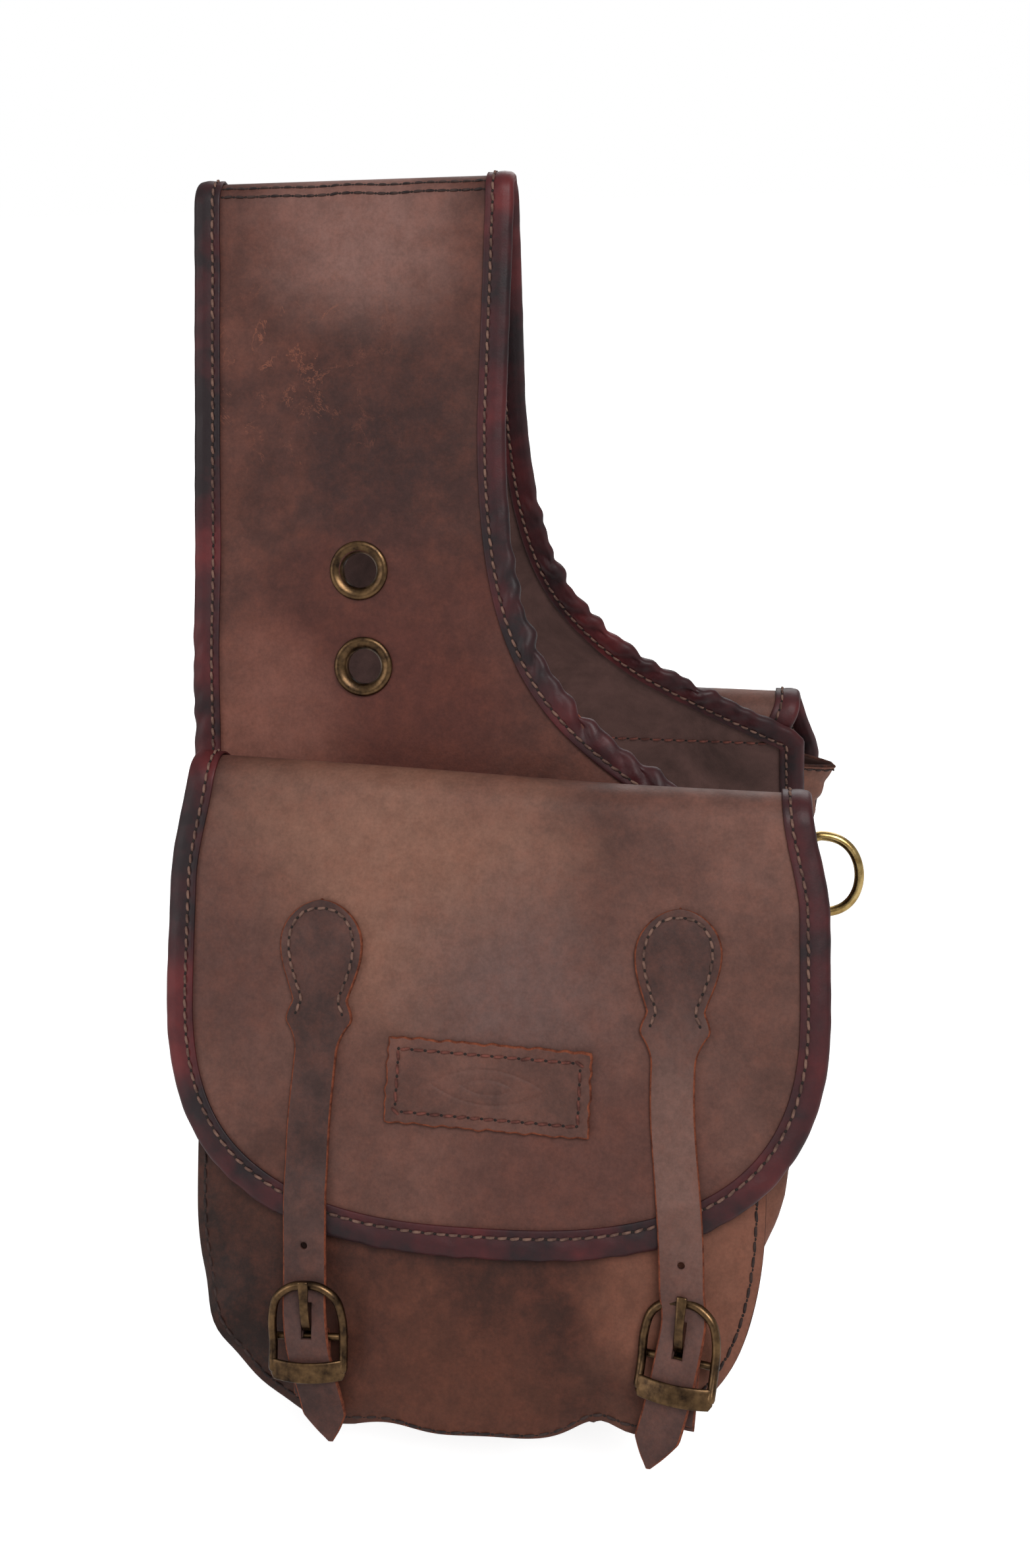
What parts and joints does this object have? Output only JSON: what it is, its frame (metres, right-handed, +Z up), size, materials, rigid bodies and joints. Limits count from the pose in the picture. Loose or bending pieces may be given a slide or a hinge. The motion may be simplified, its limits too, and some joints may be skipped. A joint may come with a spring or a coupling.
{
  "type": "saddle bag pair",
  "caption": "Pair of leather saddle bags on a scooped yoke, each with a bound flap, buckled latch straps, eyelets and one tie ring.",
  "frame": {"origin": "middle of the underside of the fold in the yoke, where the bags hang over a peg or saddle", "axes": "+X along the fold, towards the scooped edge of the yoke; -Y towards the front bag; +Z up"},
  "size_m": [0.2915, 0.3855, 0.5131],
  "materials": {
    "yoke_leather": "mottled red-brown pull-up leather, satin",
    "flap_leather": "mottled mid-brown pull-up leather, satin",
    "pouch_leather": "mottled brown pull-up leather, satin",
    "strap_leather": "dark brown oiled leather, satin",
    "binding_leather": "glossy burgundy to near-black thin leather",
    "antique_brass": "antique brass with dark hollows and rubbed edges",
    "ring_brass": "bright polished brass wire",
    "thread": "waxed tan sewing thread"
  },
  "bodies": {
    "front_half": {"front_yoke_panel": "yoke_leather", "front_edge_binding": "binding_leather", "front_pouch_front": "pouch_leather", "front_pouch_gusset": "pouch_leather", "front_flap_root": "flap_leather", "front_left_buckle_chape": "strap_leather", "front_right_buckle_chape": "strap_leather", "front_upper_eyelet": "antique_brass", "front_upper_eyelet_washer": "antique_brass", "front_lower_eyelet": "antique_brass", "front_lower_eyelet_washer": "antique_brass", "front_d_ring_tab": "strap_leather"},
    "front_flap": {"front_flap": "flap_leather", "front_flap_binding": "binding_leather", "front_name_patch": "strap_leather", "front_left_latch_strap": "strap_leather", "front_right_latch_strap": "strap_leather"},
    "front_left_buckle": {"front_left_buckle_frame": "antique_brass"},
    "front_left_prong": {"front_left_buckle_prong": "antique_brass"},
    "front_right_buckle": {"front_right_buckle_frame": "antique_brass"},
    "front_right_prong": {"front_right_buckle_prong": "antique_brass"},
    "front_ring": {"front_d_ring": "ring_brass"},
    "rear_half": {"rear_yoke_panel": "yoke_leather", "rear_edge_binding": "binding_leather", "rear_pouch_front": "pouch_leather", "rear_pouch_gusset": "pouch_leather", "rear_flap_root": "flap_leather", "rear_left_buckle_chape": "strap_leather", "rear_right_buckle_chape": "strap_leather", "rear_upper_eyelet": "antique_brass", "rear_upper_eyelet_washer": "antique_brass", "rear_lower_eyelet": "antique_brass", "rear_lower_eyelet_washer": "antique_brass"},
    "rear_flap": {"rear_flap": "flap_leather", "rear_flap_binding": "binding_leather", "rear_name_patch": "strap_leather", "rear_left_latch_strap": "strap_leather", "rear_right_latch_strap": "strap_leather"},
    "rear_left_buckle": {"rear_left_buckle_frame": "antique_brass"},
    "rear_left_prong": {"rear_left_buckle_prong": "antique_brass"},
    "rear_right_buckle": {"rear_right_buckle_frame": "antique_brass"},
    "rear_right_prong": {"rear_right_buckle_prong": "antique_brass"}
  },
  "joints": [
    {"name": "yoke_fold_hinge", "type": "hinge", "parent": "front_half", "child": "rear_half", "pos_m": [0, 0, -0.0053], "axis": [1, 0, 0], "range_deg": [-24, 60]},
    {"name": "front_flap_hinge", "type": "hinge", "parent": "front_half", "child": "front_flap", "pos_m": [0.0665, -0.08459, -0.25998], "axis": [-1, 0, 0], "range_deg": [0, 95], "deforming": ["front_left_latch_strap", "front_right_latch_strap"]},
    {"name": "front_left_buckle_hinge", "type": "hinge", "parent": "front_half", "child": "front_left_buckle", "pos_m": [-0.005, -0.16862, -0.45331], "axis": [1, 0, 0], "range_deg": [0, 20]},
    {"name": "front_left_prong_hinge", "type": "hinge", "parent": "front_left_buckle", "child": "front_left_prong", "pos_m": [-0.005, -0.16862, -0.45331], "axis": [1, 0, 0], "range_deg": [0, 55]},
    {"name": "front_right_buckle_hinge", "type": "hinge", "parent": "front_half", "child": "front_right_buckle", "pos_m": [0.145, -0.16862, -0.45331], "axis": [1, 0, 0], "range_deg": [0, 20]},
    {"name": "front_right_prong_hinge", "type": "hinge", "parent": "front_right_buckle", "child": "front_right_prong", "pos_m": [0.145, -0.16862, -0.45331], "axis": [1, 0, 0], "range_deg": [0, 55]},
    {"name": "front_ring_swing", "type": "hinge", "parent": "front_half", "child": "front_ring", "pos_m": [0.1975, -0.07897, -0.2848], "axis": [0, 0.2181, 0.9759], "range_deg": [-30, 70]},
    {"name": "rear_flap_hinge", "type": "hinge", "parent": "rear_half", "child": "rear_flap", "pos_m": [0.0665, 0.10313, -0.27316], "axis": [1, 0, 0], "range_deg": [0, 95], "deforming": ["rear_left_latch_strap", "rear_right_latch_strap"]},
    {"name": "rear_left_buckle_hinge", "type": "hinge", "parent": "rear_half", "child": "rear_left_buckle", "pos_m": [-0.005, 0.19383, -0.44259], "axis": [-1, 0, 0], "range_deg": [0, 20]},
    {"name": "rear_left_prong_hinge", "type": "hinge", "parent": "rear_left_buckle", "child": "rear_left_prong", "pos_m": [-0.005, 0.19383, -0.44259], "axis": [-1, 0, 0], "range_deg": [0, 55]},
    {"name": "rear_right_buckle_hinge", "type": "hinge", "parent": "rear_half", "child": "rear_right_buckle", "pos_m": [0.145, 0.19383, -0.44259], "axis": [-1, 0, 0], "range_deg": [0, 20]},
    {"name": "rear_right_prong_hinge", "type": "hinge", "parent": "rear_right_buckle", "child": "rear_right_prong", "pos_m": [0.145, 0.19383, -0.44259], "axis": [-1, 0, 0], "range_deg": [0, 55]}
  ]
}
